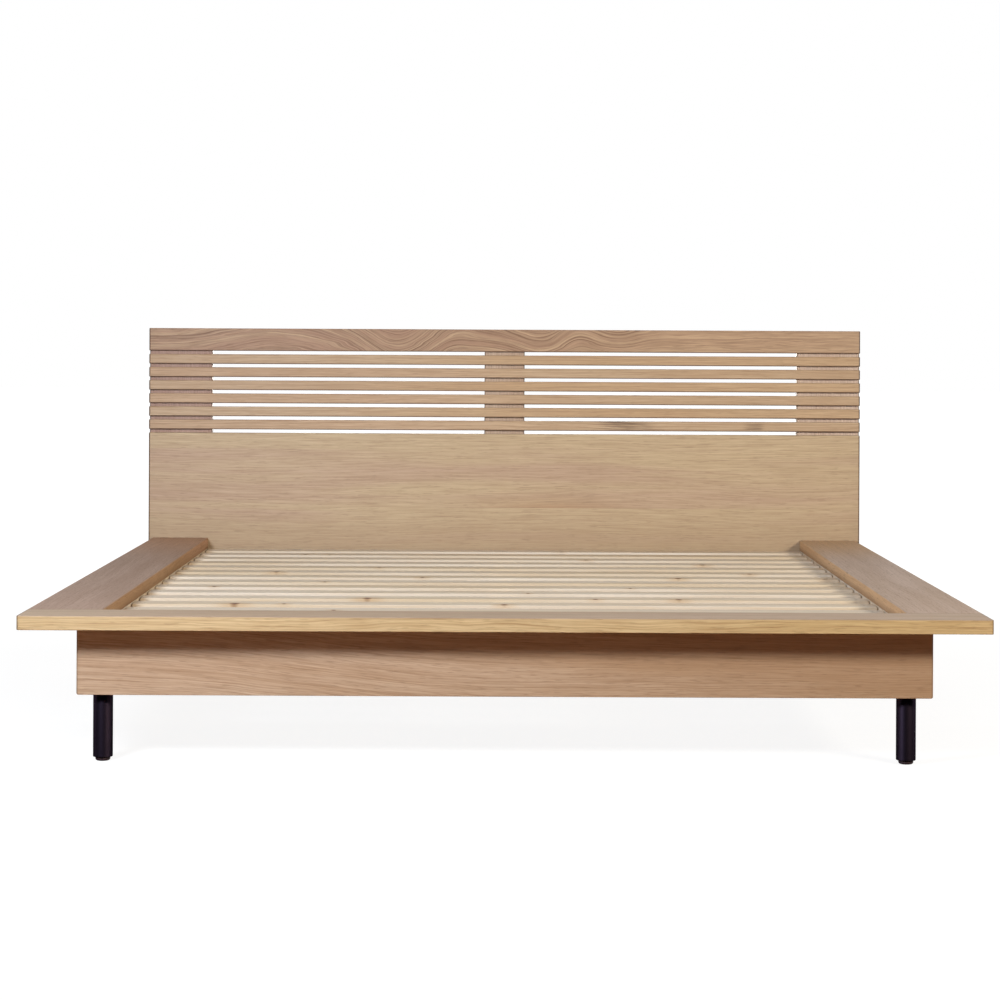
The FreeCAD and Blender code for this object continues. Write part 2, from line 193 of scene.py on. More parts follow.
# Oak boards
oakLook = {
    "streakLength": 115, "streakWidth": 2.6,   # mm, fibre streaks
    "poreLength": 34, "poreWidth": 1.9,        # mm, open pores; drawn coarser than life so that they show
    "patchLength": 900, "patchWidth": 70,      # mm, slow drift of tone
    "swayLength": 1100, "swayWidth": 240,      # mm, size of the slow bends in the grain
    "wobbleLength": 130, "wobbleWidth": 26,    # mm, size of the small bends
    "fibreRange": (0.3, 0.75), "fibre": 0.75,  # noise over which streaks darken, and how much
    "poreRange": (0.56, 0.70), "pores": 0.45,  # noise over which pores open, and how much they darken
    "warmthRange": (0.3, 0.7),                 # noise over which the ground goes from pale to warm
    "staveContrast": 0.5, "bandYears": 2.6,    # tone between staves, and rings in a broad band of tone
    "blushPower": 2.5,                         # how steeply a blush rises
    "endGrain": 5.0, "endFull": 0.5, "end": 0.9,  # mm of dark at an end, share in full dark, and how much; end grain, with painted shade on rounded ends
    "easedEdge": 4.0, "easedFull": 0.4,        # the same for the painted shade along an eased edge
    # tone of the dark ends, the painted shade along edges and the mineral stains
    "shadeAndStainTone": "#5e4738",
    "crown": 2.4, "crownFull": 0.4,            # mm, outer layer of a ledge or post, and share in full tone
    "sillBand": (8.0, 4.0), "sillTop": 0.4,    # mm in from a ledge's inner edge, share of half its depth, for the painted sill shade
    "stainRange": (0.42, 0.62), "stainCore": 0.3,  # noise over which stains show, and share that is darkest
    "roughness": (0.42, 0.56), "ior": 1.48, "specular": 0.35,
    "poreDepth": 0.25, "relief": 0.35,         # mm, and strength of the bump
    "seedStep": 3.7,
}
oakTones = {
    "panel": {"pale": "#cdb694", "warm": "#c3a68e", "line": "#a3866b", "pore": "#866b54"},
    "rail": {"pale": "#cbab8b", "warm": "#b69177", "line": "#83634d", "pore": "#6e513d"},
    "slat": {"pale": "#ceb496", "warm": "#c2a485", "line": "#a48466", "pore": "#876a50"},
    # post fronts, all one oak: pinker than the slats and lighter to the right, by painted shade and bounce
    # light
    "postLeft": {"pale": "#c09e8e", "warm": "#b59180", "line": "#9c7869", "pore": "#6a4f44"},
    "postCentre": {"pale": "#d1b8a2", "warm": "#c7aa93", "line": "#ab8d79", "pore": "#6e5649"},
    "postRight": {"pale": "#dfc7b5", "warm": "#d3b8a4", "line": "#b69987", "pore": "#745b4f"},
    "apron": {"pale": "#c8ae95", "warm": "#bb9c7e", "line": "#9a795c", "pore": "#7c5e45"},
    # tops (ledgeLeft, ledgeRight, footTop) are painted greyer and darker than lip and edge: painted
    # reflection and shade
    "ledgeLeft": {"pale": "#b79b8a", "warm": "#a88b79", "line": "#8e7260", "pore": "#745a4b"},
    "ledgeRight": {"pale": "#cfb9ab", "warm": "#c1a997", "line": "#a58a78", "pore": "#886e5e"},
    "edge": {"pale": "#e2ca9f", "warm": "#d2b888", "line": "#ae8e64", "pore": "#90734e"},
    # lipRight and ledgeRight are painted lighter than lipLeft and ledgeLeft, all one oak: painted light and
    # shade
    "lipLeft": {"pale": "#b8946f", "warm": "#a9845f", "line": "#8c6849", "pore": "#6f5038"},
    "lipRight": {"pale": "#e0bc93", "warm": "#cfa87f", "line": "#ad8663", "pore": "#89674c"},
    "footTop": {"pale": "#c6ad98", "warm": "#b9a086", "line": "#9f8670", "pore": "#846d5d"},
}
# Sizes and places are in mm, and places are from a board's middle. A row of the figure is place, width and
# dip of a bend. Fade is direction, start, end, strength and tone. Blush is height above the glue joint,
# place, half length, strength and tone. Calm is start, end and what is left of the figure. Sill shade is
# side, strength and tone of the shade painted low on a ledge's inner face, where it meets the slats
oakBoards = {
    "headboard_top_rail": {
        "grain": "x", "face": "front", "tone": "rail",
        # lower: painted shade along the rail's lower edge
        "spacing": 10, "lines": 0.54, "sway": 16, "wobble": 5.0, "pores": 0.3, "lower": 0.8,
        "calm": (240, 620, 0.3), "bands": 0.8,
        "figure": [
            (-709, 190, -46), (-337, 112, 84), (-150, 60, -14),
            (120, 110, 46), (215, 66, -20), (340, 80, 24),
        ],
    },
    "headboard_panel": {
        "grain": "x", "face": "front", "tone": "panel",
        "spacing": 9, "lines": 0.15, "sway": 14, "wobble": 2.0, "pores": 0.34, "bands": 0.25,
        "stave": 180, "staveStart": 19,
        # fade: painted shade, darker towards the bottom by the deck
        "fade": ("across", 60, -110, 0.5, "#9c8169"), "blush": (85, 150, 340, 0.5, "#a87a50"),
    },
    "foot_rail": {
        "grain": "x", "face": "front", "tone": "apron",
        "spacing": 6.5, "lines": 0.36, "sway": 14, "wobble": 1.8, "pores": 0.4, "end": 0.3,
        # fade: painted shade, darker towards the right end
        "figure": [(-1150, 800, -90)], "fade": ("along", 0, 960, 0.45, "#9a795c"),
    },
    "head_rail": {
        "grain": "x", "face": "front", "tone": "apron",
        "spacing": 11, "lines": 0.4, "sway": 18, "wobble": 2.5,
    },
    "left_rail": {
        "grain": "y", "face": "side", "tone": "apron",
        "spacing": 11, "lines": 0.4, "sway": 20, "wobble": 2.5,
    },
    "right_rail": {
        "grain": "y", "face": "side", "tone": "apron",
        "spacing": 10, "lines": 0.4, "sway": 20, "wobble": 2.5,
    },
    "left_ledge": {
        "grain": "y", "face": "top", "tone": "lipLeft", "crown": "ledgeLeft",
        "spacing": 10, "lines": 0.25, "sway": 16, "wobble": 2.0, "fibre": 0.45, "matt": 0.25, "end": 0.25,
        # fade: painted reflection of the headboard, warmer towards the rear end
        "fade": ("along", 250, 900, 0.9, "#bd9477"), "sillShade": (-1, 0.38, "#6b4a33"),
    },
    "right_ledge": {
        "grain": "y", "face": "top", "tone": "lipRight", "crown": "ledgeRight",
        "spacing": 11, "lines": 0.25, "sway": 18, "wobble": 2.0, "fibre": 0.45, "matt": 0.25, "end": 0.25,
        # fade: painted reflection of the headboard, warmer towards the rear end
        "fade": ("along", 250, 900, 0.9, "#cca67c"), "sillShade": (1, 0.5, "#6b4a33"),
    },
    "foot_ledge": {
        "grain": "x", "face": "top", "tone": "edge", "crown": "footTop",
        "spacing": 5, "lines": 0.52, "sway": 12, "wobble": 2.6, "pores": 0.35, "matt": 0.1, "end": 0.6,
        "fade": ("along", 700, -1100, 0.34, "#ae8e64"),
    },
}
headboardSlats = [f"headboard_slat_{number}" for number in range(1, 7)]
slatFades = [("along", 500, -500, 0.4, "#cba586"), ("along", -700, 100, 0.4, "#cda87c")]  # orange, golden
for number, slat in enumerate(headboardSlats, start=1):
    oakBoards[slat] = {
        "grain": "x", "face": "front", "tone": "slat",
        # lower: painted shade along each slat's lower edge
        "spacing": 8, "lines": 0.3, "sway": 12, "wobble": 1.6, "pores": 0.25, "lower": 0.8,
        "fade": slatFades[number % 2],
    }
oakBoards[headboardSlats[-1]].update({
    "lines": 0.4, "stains": [(388, 125, 0.75), (772, 40, 0.6)],  # place, reach and strength
})
postSides = ("left", "centre", "right")
for side in postSides:
    oakBoards[f"headboard_post_{side}"] = {
        "grain": "z", "face": "front", "tone": "slat", "crown": "post" + side.title(),
        # rim: painted shade along both long edges of each post's front
        "spacing": 9, "lines": 0.15, "sway": 14, "wobble": 2.0, "pores": 0.2, "rim": 0.8,
    }


def oakTone(add, grain, spec, halfDeep):  # a board's tones, with those of its outer layer over them
    tone = {key: linear(code) for key, code in oakTones[spec["tone"]].items()}
    if "crown" in spec:
        crown = oakLook["crown"] * mm
        outer = add("ShaderNodeMapRange", None, {
            "Value": grain["deep"],
            "From Min": halfDeep - crown,
            "From Max": halfDeep - oakLook["crownFull"] * crown,
        }).outputs["Result"]
        for key, code in oakTones[spec["crown"]].items():
            tone[key] = add("ShaderNodeMix", colourMix, {0: outer, 6: tone[key], 7: linear(code)}).outputs[2]
    return tone


def calmShare(add, grain, spec):  # 1, or less towards the end where a board's figure dies away
    if "calm" not in spec:
        return 1.0
    begin, finish, rest = spec["calm"]
    return add("ShaderNodeMapRange", None, {
        "Value": grain["along"], "From Min": begin * mm, "From Max": finish * mm,
        "To Min": 1.0, "To Max": rest,
    }).outputs["Result"]


def oakGround(add, grain, spec, tone, patches, calm):
    # Ground from pale to warm by slow patches, each stave's own tint and broad bands along the rings
    if grain["tint"] is not None:
        contrast = oakLook["staveContrast"]
        patches = add("ShaderNodeMath", {"operation": "MULTIPLY_ADD"}, {
            0: grain["tint"], 1: contrast, 2: patches,
        }).outputs[0]
        patches = add("ShaderNodeMath", {"operation": "SUBTRACT"}, {0: patches, 1: contrast / 2}).outputs[0]
    if "bands" in spec:
        years = add("ShaderNodeMath", {"operation": "DIVIDE"}, {
            0: grain["ring"], 1: oakLook["bandYears"] * spec["spacing"] * mm,
        }).outputs[0]
        band = add("ShaderNodeTexNoise", {"noise_dimensions": "1D"}, {
            "W": years, "Scale": 1.0, "Detail": 1.0,
        }).outputs["Fac"]
        swing = add("ShaderNodeMath", {"operation": "SUBTRACT"}, {0: band, 1: 0.5}).outputs[0]
        patches = add("ShaderNodeMath", {"operation": "MULTIPLY_ADD"}, {
            0: swing, 1: spec["bands"], 2: patches,
        }).outputs[0]
    pale, warm = oakLook["warmthRange"]
    warmth = add("ShaderNodeMapRange", smoothStep, {
        "Value": patches, "From Min": pale, "From Max": warm, "To Max": calm,
    }).outputs["Result"]
    return add("ShaderNodeMix", colourMix, {0: warmth, 6: tone["pale"], 7: tone["warm"]}).outputs[2]


def fadedOak(add, grain, fade, ground):  # the colour drifts towards one edge or end: painted shade on panel and foot rail, painted reflection on ledges
    way, begin, finish, strength, code = fade
    cover = add("ShaderNodeMapRange", smoothStep, {
        "Value": grain[way], "From Min": begin * mm, "From Max": finish * mm, "To Max": strength,
    }).outputs["Result"]
    return add("ShaderNodeMix", colourMix, {0: cover, 6: ground, 7: linear(code)}).outputs[2]


def blushedOak(add, grain, blush, joint, ground):
    # A stave that warms towards the glue joint below it, over one stretch of its length
    height, place, reach, strength, code = blush
    away = add("ShaderNodeMath", {"operation": "SUBTRACT"}, {0: grain["along"], 1: place * mm}).outputs[0]
    off = add("ShaderNodeMath", {"operation": "ABSOLUTE"}, {0: away}).outputs[0]
    stretch = add("ShaderNodeMapRange", smoothStep, {
        "Value": off, "From Min": reach * mm, "From Max": 0.0, "To Max": strength,
    }).outputs["Result"]
    close = add("ShaderNodeMapRange", None, {
        "Value": grain["across"], "From Min": (joint + height) * mm, "From Max": joint * mm,
    }).outputs["Result"]
    steep = add("ShaderNodeMath", {"operation": "POWER"}, {0: close, 1: oakLook["blushPower"]}).outputs[0]
    above = add("ShaderNodeMath", {"operation": "GREATER_THAN"}, {
        0: grain["across"], 1: joint * mm,
    }).outputs[0]
    cover = add("ShaderNodeMath", {"operation": "MULTIPLY"}, {0: steep, 1: above}).outputs[0]
    cover = add("ShaderNodeMath", {"operation": "MULTIPLY"}, {0: cover, 1: stretch}).outputs[0]
    return add("ShaderNodeMix", colourMix, {0: cover, 6: ground, 7: linear(code)}).outputs[2]


def darkenedEndsAndShadedEdges(add, grain, spec, halves, colour):
    # End grain soaks up more oil and is darker, and a rounded end also gets painted shade there
    # painted shade also darkens an eased edge, at the lower side or at both
    halfLong, halfWide = halves[:2]
    length = add("ShaderNodeMath", {"operation": "ABSOLUTE"}, {0: grain["along"]}).outputs[0]
    width = add("ShaderNodeMath", {"operation": "ABSOLUTE"}, {0: grain["across"]}).outputs[0]
    endGrain, eased = oakLook["endGrain"] * mm, oakLook["easedEdge"] * mm
    endFull, easedFull = oakLook["endFull"] * endGrain, oakLook["easedFull"] * eased
    # dark ends: end grain, with painted shade on the rounded ends
    darker = [(length, halfLong - endGrain, halfLong - endFull, spec.get("end", oakLook["end"]))]
    # painted shade along the lower edge
    if "lower" in spec:
        darker.append((grain["across"], eased - halfWide, easedFull - halfWide, spec["lower"]))
    # painted shade along both long edges
    if "rim" in spec:
        darker.append((width, halfWide - eased, halfWide - easedFull, spec["rim"]))
    for value, begin, finish, strength in darker:
        cover = add("ShaderNodeMapRange", None, {
            "Value": value, "From Min": begin, "From Max": finish, "To Max": strength,
        }).outputs["Result"]
        colour = add("ShaderNodeMix", colourMix, {
            0: cover, 6: colour, 7: linear(oakLook["shadeAndStainTone"]),
        }).outputs[2]
    return colour


def paintedSillShade(add, grain, sillShade, halves, colour):  # painted shade: a ledge's inner face is browner low down, where it meets the slats
    side, strength, code = sillShade
    begin, finish = (halves[1] - inset * mm for inset in oakLook["sillBand"])
    inner = add("ShaderNodeMath", {"operation": "MULTIPLY"}, {0: grain["across"], 1: side}).outputs[0]
    edge = add("ShaderNodeMapRange", None, {
        "Value": inner, "From Min": begin, "From Max": finish, "To Max": strength,
    }).outputs["Result"]
    cover = add("ShaderNodeMapRange", smoothStep, {
        "Value": grain["deep"], "To Max": edge,
        "From Min": oakLook["sillTop"] * halves[2], "From Max": -halves[2],
    }).outputs["Result"]
    return add("ShaderNodeMix", colourMix, {0: cover, 6: colour, 7: linear(code)}).outputs[2]


def stainedOak(add, grain, stain, streaks, colour):  # a short run of dark mineral streaks
    place, reach, strength = stain
    faint, full = oakLook["stainRange"]
    away = add("ShaderNodeMath", {"operation": "SUBTRACT"}, {0: grain["along"], 1: place * mm}).outputs[0]
    off = add("ShaderNodeMath", {"operation": "ABSOLUTE"}, {0: away}).outputs[0]
    near = add("ShaderNodeMapRange", smoothStep, {
        "Value": off, "To Max": strength,
        "From Min": reach * mm, "From Max": oakLook["stainCore"] * reach * mm,
    }).outputs["Result"]
    cover = add("ShaderNodeMapRange", None, {
        "Value": streaks, "From Min": faint, "From Max": full, "To Max": near,
    }).outputs["Result"]
    return add("ShaderNodeMix", colourMix, {0: cover, 6: colour, 7: linear(oakLook["shadeAndStainTone"])}).outputs[2]


def oakBoard(node, spec, seed):
    # Lacquered oak, planed: tan wood with darker growth lines, short dark pores and a sheen at low angles
    material, tree, shader = blankMaterial("oakSatinLacquer_" + node)
    add = functools.partial(addNode, tree)
    grain = woodGrain(add, node, oakLook, spec, seed)
    halves = halfSizes(node, spec)
    tone = oakTone(add, grain, spec, halves[2])
    streaks = stretchedNoise(add, grain, oakLook, "streak", seed + 1, 3.0)
    pores = stretchedNoise(add, grain, oakLook, "pore", seed + 2, 1.0)
    patches = stretchedNoise(add, grain, oakLook, "patch", seed + 3, 1.0)
    calm = calmShare(add, grain, spec)
    colour = oakGround(add, grain, spec, tone, patches, calm)
    # on the panel and the foot rail the fade is painted shade; on the side ledges, a painted reflection
    if "fade" in spec:
        colour = fadedOak(add, grain, spec["fade"], colour)
    if "blush" in spec:
        colour = blushedOak(add, grain, spec["blush"], spec["staveStart"], colour)
    lines = add("ShaderNodeMath", {"operation": "MULTIPLY"}, {
        0: growthLines(add, grain, spec["spacing"], seed), 1: calm,
    }).outputs[0]
    faint, full = oakLook["fibreRange"]
    fibre = add("ShaderNodeMapRange", None, {
        "Value": streaks, "From Min": faint, "From Max": full, "To Max": spec.get("fibre", oakLook["fibre"]),
    }).outputs["Result"]
    darkening = add("ShaderNodeMath", {"operation": "MULTIPLY_ADD", "use_clamp": True}, {
        0: lines, 1: spec["lines"], 2: fibre,
    }).outputs[0]
    colour = add("ShaderNodeMix", colourMix, {0: darkening, 6: colour, 7: tone["line"]}).outputs[2]
    closed, wide = oakLook["poreRange"]
    gape = add("ShaderNodeMapRange", smoothStep, {
        "Value": pores, "From Min": closed, "From Max": wide,
    }).outputs["Result"]
    dark = add("ShaderNodeMath", {"operation": "MULTIPLY"}, {
        0: gape, 1: spec.get("pores", oakLook["pores"]),
    }).outputs[0]
    colour = add("ShaderNodeMix", colourMix, {0: dark, 6: colour, 7: tone["pore"]}).outputs[2]
    colour = darkenedEndsAndShadedEdges(add, grain, spec, halves, colour)
    # painted shade low on a ledge's inner face, where it meets the slats
    if "sillShade" in spec:
        colour = paintedSillShade(add, grain, spec["sillShade"], halves, colour)
    for stain in spec.get("stains", []):
        colour = stainedOak(add, grain, stain, streaks, colour)

    smooth, rough = (value + spec.get("matt", 0) for value in oakLook["roughness"])
    sheen = add("ShaderNodeMapRange", None, {
        "Value": streaks, "To Min": smooth, "To Max": rough,
    }).outputs["Result"]
    height = add("ShaderNodeMath", {"operation": "MULTIPLY"}, {0: gape, 1: -1.0}).outputs[0]
    bump = add("ShaderNodeBump", None, {
        "Height": height, "Strength": oakLook["relief"], "Distance": oakLook["poreDepth"] * mm,
    }).outputs["Normal"]
    for name, socket in (("Base Color", colour), ("Roughness", sheen), ("Normal", bump)):
        tree.links.new(socket, shader.inputs[name])
    shader.inputs["IOR"].default_value = oakLook["ior"]
    shader.inputs["Specular IOR Level"].default_value = oakLook["specular"]
    return material


for seed, (node, spec) in enumerate(oakBoards.items(), start=1):
    dress(node, oakBoard(node, spec, oakLook["seedStep"] * seed))
print("oak on", len(oakBoards), "boards")

# Pine slats, battens, blocks and beam
pineLook = {
    "streakLength": 420, "streakWidth": 6,     # mm, sizes as for the oak
    "patchLength": 700, "patchWidth": 45,
    "swayLength": 900, "swayWidth": 160,
    "wobbleLength": 160, "wobbleWidth": 30,
    "warmthRange": (0.3, 0.75),
    "fibreRange": (0.4, 0.8), "fibre": 0.35,
    "knotSet": 14,                             # mm that a knot lies in from the slat's front edge
    "knotLean": (1.8, 1.6),                    # radii across the slat and down into it, as the branch leans
    "relief": 0.2, "fibreDepth": 0.4,          # strength of the bump, and mm
    "roughness": 0.62, "ior": 1.45, "specular": 0.3,
    "seedStep": 2.9,
}
pineTone = {
    "pale": "#e4d8c9", "warm": "#d7c4a9", "line": "#bfa078",
    "halo": "#bd935f", "knot": "#7f5330", "heart": "#4c2e1a",
}
slatKnots = {  # place from the middle and radius, in mm, of the knots on each slat
    1: [(310, 7)], 2: [(-120, 8), (640, 6)], 3: [(-410, 6)],
    4: [(-662, 12), (-541, 6), (-1, 9)], 5: [(-344, 11), (228, 7), (437, 9)],
    6: [(60, 5)], 7: [(-760, 6), (330, 5)], 8: [(-480, 5)],
    9: [(-224, 7), (475, 9), (874, 7)], 10: [(-634, 9), (684, 8)], 11: [(-355, 6)],
    12: [(575, 9)], 13: [(243, 7)], 14: [(-597, 5), (-525, 5)], 15: [(177, 6)],
}
knotLayers = [  # tone, length along the grain, where it starts and ends to fade in radii, and strength
    ("halo", 3.0, 0.4, 1.9, 0.42), ("knot", 1.3, 0.45, 1.05, 0.85), ("heart", 1.0, 0.15, 0.7, 0.8),
]
pineBoards = {}
for number, knots in slatKnots.items():
    pineBoards[f"slat_{number}"] = {
        "grain": "x", "face": "top", "spacing": 10 + number % 4, "lines": 0.36, "sway": 12, "wobble": 2.0,
        "knots": knots,
    }
for side in ("left", "right"):
    pineBoards[f"{side}_slat_batten"] = {
        "grain": "y", "face": "top", "spacing": 9, "lines": 0.4, "sway": 10, "wobble": 2.0,
    }
pineBoards["centre_beam"] = {
    "grain": "y", "face": "side", "spacing": 12, "lines": 0.4, "sway": 16, "wobble": 2.0,
}
pineBoards["corner_blocks"] = {
    "grain": "z", "face": "side", "spacing": 9, "lines": 0.4, "sway": 10, "wobble": 2.0,
}


def knottedPine(add, centre, radius, tone, colour):
    # A branch cut across: an amber halo, a brown core and a dark heart, each an ellipse that fades outwards
    where = add("ShaderNodeTexCoord").outputs["Object"]
    away = add("ShaderNodeVectorMath", {"operation": "SUBTRACT"}, {0: where, 1: centre}).outputs[0]
    for key, stretch, near, far, strength in knotLayers:
        size = Vector((stretch, *pineLook["knotLean"])) * radius * mm
        share = add("ShaderNodeVectorMath", {"operation": "DIVIDE"}, {0: away, 1: size}).outputs[0]
        distance = add("ShaderNodeVectorMath", {"operation": "LENGTH"}, {0: share}).outputs["Value"]
        cover = add("ShaderNodeMapRange", smoothStep, {
            "Value": distance, "From Min": near, "From Max": far, "To Min": strength, "To Max": 0.0,
        }).outputs["Result"]
        colour = add("ShaderNodeMix", colourMix, {0: cover, 6: colour, 7: tone[key]}).outputs[2]
    return colour


def pineBoard(node, spec, seed):
    # Planed pine with no finish: cream early wood, amber late wood, round brown knots and a dull surface
    material, tree, shader = blankMaterial("planedPine_" + node)
    add = functools.partial(addNode, tree)
    tone = {key: linear(code) for key, code in pineTone.items()}
    grain = woodGrain(add, node, pineLook, spec, seed)
    streaks = stretchedNoise(add, grain, pineLook, "streak", seed + 1, 2.0)
    patches = stretchedNoise(add, grain, pineLook, "patch", seed + 2, 1.0)
    pale, warm = pineLook["warmthRange"]
    warmth = add("ShaderNodeMapRange", smoothStep, {
        "Value": patches, "From Min": pale, "From Max": warm,
    }).outputs["Result"]
    ground = add("ShaderNodeMix", colourMix, {0: warmth, 6: tone["pale"], 7: tone["warm"]}).outputs[2]
    faint, full = pineLook["fibreRange"]
    fibre = add("ShaderNodeMapRange", None, {
        "Value": streaks, "From Min": faint, "From Max": full, "To Max": pineLook["fibre"],
    }).outputs["Result"]
    darkening = add("ShaderNodeMath", {"operation": "MULTIPLY_ADD", "use_clamp": True}, {
        0: growthLines(add, grain, spec["spacing"], seed), 1: spec["lines"], 2: fibre,
    }).outputs[0]
    colour = add("ShaderNodeMix", colourMix, {0: darkening, 6: ground, 7: tone["line"]}).outputs[2]
    low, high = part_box(node)
    for place, radius in spec.get("knots", []):
        centre = Vector((place * mm, low.y + pineLook["knotSet"] * mm, high.z))
        colour = knottedPine(add, centre, radius, tone, colour)

    bump = add("ShaderNodeBump", None, {
        "Height": streaks, "Strength": pineLook["relief"], "Distance": pineLook["fibreDepth"] * mm,
    }).outputs["Normal"]
    tree.links.new(colour, shader.inputs["Base Color"])
    tree.links.new(bump, shader.inputs["Normal"])
    shader.inputs["Roughness"].default_value = pineLook["roughness"]
    shader.inputs["IOR"].default_value = pineLook["ior"]
    shader.inputs["Specular IOR Level"].default_value = pineLook["specular"]
    return material


for seed, (node, spec) in enumerate(pineBoards.items(), start=1):
    dress(node, pineBoard(node, spec, pineLook["seedStep"] * seed))
print("pine on", len(pineBoards), "boards")

# Screws with cross recesses and threaded glide stems, worked out as grids of rings
sharpAngle = 40                                # degrees, past which an edge isn't shaded smooth
threadForm = {"steepness": 1.6, "flat": 0.3}   # slope of the flanks, and how far the crest is cut flat
screwLook = {                                  # mm, shares and counts
    "headRadius": 3.95, "headHeight": 2.2, "sunk": 0.5, "middleRadius": 0.15,
    "recessDepth": 1.3, "recessWidth": 0.75, "recessReach": 2.5, "recessSteepness": 2.5,
    "shankRadius": 1.95, "threadDepth": 0.45, "threadPitch": 2.4,
    "tip": 5.0, "tipStart": 0.2, "taper": 0.92,  # the point's length, first ring and loss of radius
    "around": 24, "topRings": 12, "shankRings": 78, "tipRings": 6,
}
slatScrews = {"inset": 27, "length": 34.5}     # mm
headboardScrews = {                            # shares of a post's width and of the panel's height, and mm
    "columns": (0.2, 0.8), "panelRows": (0.12, 0.5, 0.88), "length": 39.5,
}
stemLook = {                                   # mm, an M10 thread, and counts
    "crest": 4.95, "depth": 0.9, "pitch": 1.5, "chamfer": 1.0, "around": 40, "ringsPerTurn": 10,
}


def gridPiece(name, rings, body, slot, *replaced):
    # Rings of points, one array of copies by rings by points around, joined by quads and closed at both ends
    copies, rows, around = rings.shape[:3]
    index = np.arange(copies * rows * around).reshape(copies, rows, around)
    turned = np.roll(index, -1, axis=2)
    quads = np.stack([index[:, :-1], index[:, 1:], turned[:, 1:], turned[:, :-1]], axis=-1).reshape(-1, 4)
    faces = quads.tolist() + index[:, 0].tolist() + index[:, -1, ::-1].tolist()
    mesh = bpy.data.meshes.new(name)
    mesh.from_pydata(rings.reshape(-1, 3).tolist(), [], faces)
    mesh.polygons.foreach_set("use_smooth", np.ones(len(faces), dtype=bool))
    mesh.set_sharp_from_angle(angle=math.radians(sharpAngle))
    piece = bpy.data.objects.new(name, mesh)
    bpy.context.scene.collection.objects.link(piece)
    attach(piece, body)
    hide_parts(*replaced)


def threadCut(depth, pitch, height, angle):
    # Depth of a thread at each height and angle: a triangle wave, clipped flat, climbing one pitch in a turn
    turn = np.mod(height / pitch - angle / (2 * np.pi), 1.0)
    wave = threadForm["steepness"] * np.abs(2 * turn - 1) - threadForm["flat"]
    return depth * np.clip(wave, 0, 1)


def screwRings(look, length):
    # A countersunk screw, its head's top at height 0: flat top less a cross recess, cone, thread and point
    angle = np.linspace(0, 2 * np.pi, look["around"], endpoint=False)
    topRadius = np.linspace(look["middleRadius"], look["headRadius"], look["topRings"])
    x, y = topRadius[:, None] * np.cos(angle), topRadius[:, None] * np.sin(angle)
    reach, width, steep = look["recessReach"], look["recessWidth"], look["recessSteepness"]
    ramp = np.clip(steep * (1 - np.hypot(x, y) / reach), 0, 1)  # floor that rises to the ends of the arms
    slot = np.clip(steep * (1 - np.minimum(np.abs(x), np.abs(y)) / width), 0, 1)  # near an arm's middle line
    topHeight = -look["recessDepth"] * ramp * slot
    shankEnd = -(length - look["tip"])
    height = np.linspace(-look["headHeight"], shankEnd, look["shankRings"])[:, None] + 0 * angle
    fadeIn = np.clip((-look["headHeight"] - height) / look["threadPitch"], 0, 1)
    thread = threadCut(look["threadDepth"], look["threadPitch"], height, angle)
    radius = look["shankRadius"] - fadeIn * thread
    tipShare = np.linspace(look["tipStart"], 1.0, look["tipRings"])[:, None]
    tipRadius = radius[-1] * (1 - look["taper"] * tipShare)
    tipHeight = shankEnd - look["tip"] * tipShare + 0 * angle
    radius = np.vstack([topRadius[:, None] + 0 * angle, radius, tipRadius])
    height = np.vstack([topHeight, height, tipHeight])
    return np.stack([radius * np.cos(angle), radius * np.sin(angle), height], axis=-1)


def driveScrews(name, look, length, places, turn, node):
    # Copies of one screw at each place, turned so that its head faces out of the wood
    rings = screwRings(look, length) * mm @ np.array(turn)
    gridPiece(name, np.array(places)[:, None, None, :] + rings, "bed", "dark_steel", node)


def middleOf(node):
    low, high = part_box(node)
    return (low + high) / 2


deckPlaces = []
for number in slatKnots:
    low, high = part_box(f"slat_{number}")
    out = high.x - slatScrews["inset"] * mm
    top = high.z - screwLook["sunk"] * mm
    deckPlaces += [(side * out, (low.y + high.y) / 2, top) for side in (-1, 1)]
driveScrews("slatScrews", screwLook, slatScrews["length"], deckPlaces, np.eye(3), "slat_screws")

postPlaces = []
panelLow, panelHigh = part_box("headboard_panel")
for side in postSides:
    low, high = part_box(f"headboard_post_{side}")
    columns = [low.x + share * (high.x - low.x) for share in headboardScrews["columns"]]
    rows = [panelLow.z + share * (panelHigh.z - panelLow.z) for share in headboardScrews["panelRows"]]
    rows.append(middleOf("headboard_top_rail").z)
    spots = [(x, z) for x in columns for z in rows]
    spots += [((low.x + high.x) / 2, middleOf(slat).z) for slat in headboardSlats]
    postPlaces += [(x, high.y - screwLook["sunk"] * mm, z) for x, z in spots]
backward = ((1, 0, 0), (0, 0, -1), (0, 1, 0))  # rows are where the screw's own x, y and head direction go
driveScrews(
    "headboardScrews", screwLook, headboardScrews["length"], postPlaces, backward, "headboard_screws",
)


def stemRings(look, low, high):
    # A threaded rod between two heights: a thread cut from the crest radius, with chamfered ends
    angle = np.linspace(0, 2 * np.pi, look["around"], endpoint=False)
    count = int(round((high - low) / look["pitch"] * look["ringsPerTurn"])) + 1
    height = np.linspace(high, low, count)[:, None] + 0 * angle
    toEnd = np.minimum(height - low, high - height)
    radius = look["crest"] - threadCut(look["depth"], look["pitch"], height, angle)
    radius = np.minimum(radius, look["crest"] - look["chamfer"] + toEnd)
    return np.stack([radius * np.cos(angle), radius * np.sin(angle), height], axis=-1)


places = ("foot_left", "foot_right", "head_left", "head_right", "centre")
for place in places:
    low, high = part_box(f"glide_stem_{place}")
    axis = ((low.x + high.x) / 2, (low.y + high.y) / 2, 0.0)
    rings = stemRings(stemLook, low.z / mm, high.z / mm) * mm + np.array(axis)
    gridPiece(f"threadedStem_{place}", rings[None], f"stem_{place}", "zinc_steel", f"glide_stem_{place}")
print("screws and stems cut,", len(deckPlaces) + len(postPlaces), "screws")

